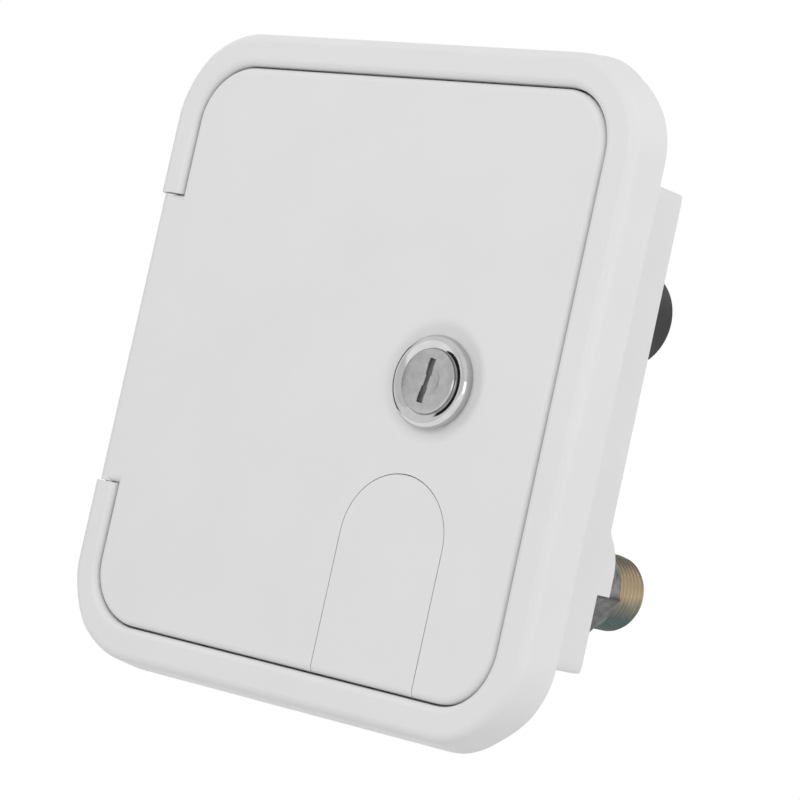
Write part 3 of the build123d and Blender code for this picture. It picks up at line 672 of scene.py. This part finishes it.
def dimpled_plug():
    """Lock's plug with a dimple round its key slot."""
    names = ("lock_plug", "dimpled_plug", "lock_core", "chrome")
    reshaped(*names, plug_place, look="satin_chrome", cuts=PLUG_CUTS)


def valve_body():
    """Inlet body with its hexagon turned."""
    names = ("check_valve_body", "valve_body", "housing", "cast_zinc")
    planes = (HEX_FRONT_Y - NEAR, HEX_FRONT_Y)
    reshaped(*names, hexagon_place, look="hexagon_zinc", cut_planes=planes)


def turned_piece(name, profile, x, z, body, slot, look=None):
    """Closed ring turned about a fore and aft axis, from (radius, depth) points."""
    vertices, faces = rings_mesh([ring(x, z, y, level(r), TURNED_AROUND) for r, y in profile])
    add_piece(name, vertices, faces, body, slot, look)


def hexagon_shoulder():
    """Low round shoulder between the hexagon's rear face and the thread."""
    rear = HEX_SHOULDER_Y
    sunk = HEX_REAR_Y - HEX_SHOULDER_SUNK
    profile = [
        (HEX_SHOULDER_R, sunk),
        (HEX_SHOULDER_R, rear - HEX_SHOULDER_BEVEL),
        (HEX_SHOULDER_R - HEX_SHOULDER_BEVEL, rear),
        (HEX_SHOULDER_IN_R, rear),
        (HEX_SHOULDER_IN_R, sunk),
    ]
    names = ("housing", "cast_zinc", "hexagon_zinc")
    turned_piece("hexagon_shoulder", profile, PORT_X, INLET_Z, *names)


def lock_ring():
    """Rounded chrome ring of the collar, dished towards the plug."""
    steps = LOCK_RING_STEPS
    dished = LOCK_RING_RIDGE_R - LOCK_RING_HOLE_R
    drop = LOCK_RING_HOLE_Y - LOCK_RING_RIDGE_Y
    profile = []
    for i in range(steps):
        share = 1 - i / steps
        y = LOCK_RING_RIDGE_Y + drop * share**LOCK_RING_FALL
        profile.append((LOCK_RING_RIDGE_R - dished * share, y))
    for i in range(steps + 1):
        turn = math.pi / 2 * i / steps
        r = LOCK_RING_RIDGE_R + (LOCK_RING_R - LOCK_RING_RIDGE_R) * math.sin(turn)
        y = LOCK_RING_FOOT_Y + (LOCK_RING_RIDGE_Y - LOCK_RING_FOOT_Y) * math.cos(turn)
        profile.append((r, y))
    under = LOCK_RING_UNDER
    profile.append((LOCK_COLLAR_R, LOCK_RING_FOOT_Y + 2 * under))
    profile.append((LOCK_COLLAR_R - under, LOCK_RING_FOOT_Y - 4 * under))
    profile.append((LOCK_RING_RIDGE_R, LOCK_RING_HOLE_Y + under / 2))
    profile.append((LOCK_RING_HOLE_R, LOCK_RING_HOLE_Y + under / 2))
    turned_piece("lock_ring", profile, LOCK_X, LOCK_Z, "door", "chrome")


def key_shutter():
    """Round-ended plate that closes the key slot a little behind the plug's face, in steel darkened
    as painted shade of the slot.
    """
    tilt = math.radians(SHUTTER_TILT_DEG)
    cos, sin = math.cos(tilt), math.sin(tilt)
    outline = []
    for end in (1, -1):
        for i in range(SHUTTER_STEPS + 1):
            turn = math.pi * i / SHUTTER_STEPS
            u = end * SHUTTER_HALF_W * math.cos(turn)
            v = end * (SHUTTER_HALF_H - SHUTTER_HALF_W + SHUTTER_HALF_W * math.sin(turn))
            outline.append((u * cos + v * sin, v * cos - u * sin))
    count = len(outline)
    vertices = [(LOCK_X + u, SHUTTER_Y, LOCK_Z + v) for u, v in outline]
    vertices += [(LOCK_X + u, SHUTTER_Y + SHUTTER_T, LOCK_Z + v) for u, v in outline]
    faces = [tuple(range(count)), tuple(reversed(range(count, 2 * count)))]
    for j in range(count):
        k = (j + 1) % count
        faces.append((j, j + count, k + count, k))
    add_piece("key_shutter", vertices, faces, "lock_core", "steel", "shutter_steel_painted_shade")


def hose_thread():
    """Rounded helical thread inside the swivel collar."""
    step = HOSE_PITCH / THREAD_ROWS_A_TURN
    rows = int(round((HOSE_END_Y - HOSE_START_Y) / step))
    buried = level(HOSE_R + HOSE_BURIED)
    rings = [
        ring(PORT_X, INLET_Z, HOSE_START_Y, buried, THREAD_AROUND),
        ring(PORT_X, INLET_Z, HOSE_END_Y, buried, THREAD_AROUND),
    ]
    for i in range(rows + 1):
        y = HOSE_END_Y + (HOSE_START_Y - HOSE_END_Y) * i / rows
        fade = min(1.0, (y - HOSE_START_Y) / HOSE_PITCH, (HOSE_END_Y - y) / HOSE_PITCH)

        def radius(turn, y=y, fade=fade):
            crest = thread_height(y / HOSE_PITCH - turn / (2 * math.pi))
            return HOSE_R + HOSE_SUNK - HOSE_DEPTH * fade * crest

        rings.append(ring(PORT_X, INLET_Z, y, radius, THREAD_AROUND))
    vertices, faces = rings_mesh(rings)
    add_piece("hose_thread", vertices, faces, "swivel", "brass", sharp_deg=THREAD_SHARP_DEG)


def make_camera():
    """Camera of the photograph."""
    data = bpy.data.cameras.new("camera")
    data.lens = CAMERA_LENS_MM
    data.sensor_width = CAMERA_SENSOR_MM
    data.clip_start = CAMERA_CLIP
    camera = bpy.data.objects.new("camera", data)
    right = Vector(CAMERA_RIGHT).normalized()
    back = right.cross(Vector(CAMERA_UP)).normalized()
    up = back.cross(right)
    turn = Matrix((right, up, back)).transposed().to_4x4()
    camera.matrix_world = Matrix.Translation(CAMERA_AT) @ turn
    bpy.context.scene.collection.objects.link(camera)
    bpy.context.scene.camera = camera


def seen_directly(nodes, links):
    """1 for camera, glossy and transmission rays, so that metal shows the backdrop too."""
    path = nodes.new("ShaderNodeLightPath")
    most = path.outputs["Is Camera Ray"]
    for name in ("Is Glossy Ray", "Is Transmission Ray"):
        most = add_math(nodes, links, "MAXIMUM", most, path.outputs[name])
    return most


def mix_seen(nodes, links, unseen, seen, output):
    """Sends one shader to the rays that see the backdrop, and the other to the rest."""
    mix = nodes.new("ShaderNodeMixShader")
    links.new(seen_directly(nodes, links), mix.inputs["Fac"])
    links.new(unseen.outputs[0], mix.inputs[1])
    links.new(seen.outputs[0], mix.inputs[2])
    links.new(mix.outputs[0], nodes[output].inputs["Surface"])


def make_world():
    """Even light all round, which looks white."""
    world = bpy.data.worlds.new("studio")
    world.use_nodes = True
    bpy.context.scene.world = world
    nodes, links = world.node_tree.nodes, world.node_tree.links
    light = nodes["Background"]
    light.inputs["Color"].default_value = WHITE
    light.inputs["Strength"].default_value = WORLD_LIGHT
    white = nodes.new("ShaderNodeBackground")
    white.inputs["Color"].default_value = WHITE
    white.inputs["Strength"].default_value = 1.0
    mix_seen(nodes, links, light, white, "World Output")


def make_floor():
    """Pale floor that is white where nothing shades it."""
    points = [(0.0, 0.0, FLOOR_Z)]
    for i in range(FLOOR_SIDES):
        turn = 2 * math.pi * i / FLOOR_SIDES
        points.append((FLOOR_R * math.cos(turn), FLOOR_R * math.sin(turn), FLOOR_Z))
    faces = [(0, i + 1, (i + 1) % FLOOR_SIDES + 1) for i in range(FLOOR_SIDES)]
    mesh = bpy.data.meshes.new("floor")
    mesh.from_pydata(points, [], faces)
    floor = bpy.data.objects.new("floor", mesh)
    bpy.context.scene.collection.objects.link(floor)
    floor.data.materials.append(floor_material())


def floor_material():
    """Matt grey that glows up to white for the camera, and lights the object as plain matt grey."""
    material = bpy.data.materials.new("pale_floor")
    material.use_nodes = True
    nodes, links = material.node_tree.nodes, material.node_tree.links
    nodes.remove(nodes["Principled BSDF"])
    matt = nodes.new("ShaderNodeBsdfDiffuse")
    matt.inputs["Color"].default_value = rgb(FLOOR_GREY)
    bounce = nodes.new("ShaderNodeBsdfDiffuse")
    bounce.inputs["Color"].default_value = rgb(FLOOR_BOUNCE)
    glow = nodes.new("ShaderNodeEmission")
    glow.inputs["Strength"].default_value = FLOOR_GLOW
    both = nodes.new("ShaderNodeAddShader")
    links.new(matt.outputs[0], both.inputs[0])
    links.new(glow.outputs[0], both.inputs[1])
    mix_seen(nodes, links, bounce, both, "Material Output")
    return material


def add_lamp(name, place, size, power, in_gloss):
    """Soft square lamp at a place, facing the object."""
    data = bpy.data.lights.new(name, "AREA")
    data.shape = "SQUARE"
    data.size = size
    data.energy = power
    lamp = bpy.data.objects.new(name, data)
    lamp.location = place
    lamp.rotation_mode = "QUATERNION"
    lamp.rotation_quaternion = (Vector(LAMP_TARGET) - Vector(place)).to_track_quat("-Z", "Y")
    lamp.visible_glossy = in_gloss
    bpy.context.scene.collection.objects.link(lamp)


def add_card(name, azimuth_deg, width, height, rise, grey):
    """Flat card beside the object that only the gloss of metal and plastic sees."""
    turn = math.radians(azimuth_deg)
    out = Vector((math.sin(turn), -math.cos(turn), 0.0))
    across = Vector((math.cos(turn), math.sin(turn), 0.0)) * width / 2
    middle = Vector((LOCK_X, 0.0, LOCK_Z + rise)) + out * CARD_DISTANCE
    up = Vector((0.0, 0.0, height / 2))
    mesh = bpy.data.meshes.new(name)
    low, high = middle - up, middle + up
    corners = [low - across, low + across, high + across, high - across]
    mesh.from_pydata([tuple(corner) for corner in corners], [], [(0, 1, 2, 3)])
    card = bpy.data.objects.new(name, mesh)
    material = bpy.data.materials.new(name)
    material.use_nodes = True
    nodes = material.node_tree.nodes
    nodes.remove(nodes["Principled BSDF"])
    tone = nodes.new("ShaderNodeEmission")
    tone.inputs["Strength"].default_value = grey
    material.node_tree.links.new(tone.outputs[0], nodes["Material Output"].inputs["Surface"])
    mesh.materials.append(material)
    bpy.context.scene.collection.objects.link(card)
    card.visible_camera = False
    card.visible_diffuse = False
    card.visible_shadow = False
    card.visible_transmission = False
    card.visible_volume_scatter = False


make_camera()
make_world()
make_floor()
for lamp_row in LAMPS:
    add_lamp(*lamp_row)
for card_row in CARDS:
    add_card(*card_row)
dress_cad()
mouldings()
dimpled_plug()
valve_body()
hexagon_shoulder()
tail_thread()
hose_thread()
lock_ring()
key_shutter()

bpy.context.scene.view_settings.view_transform = "Standard"
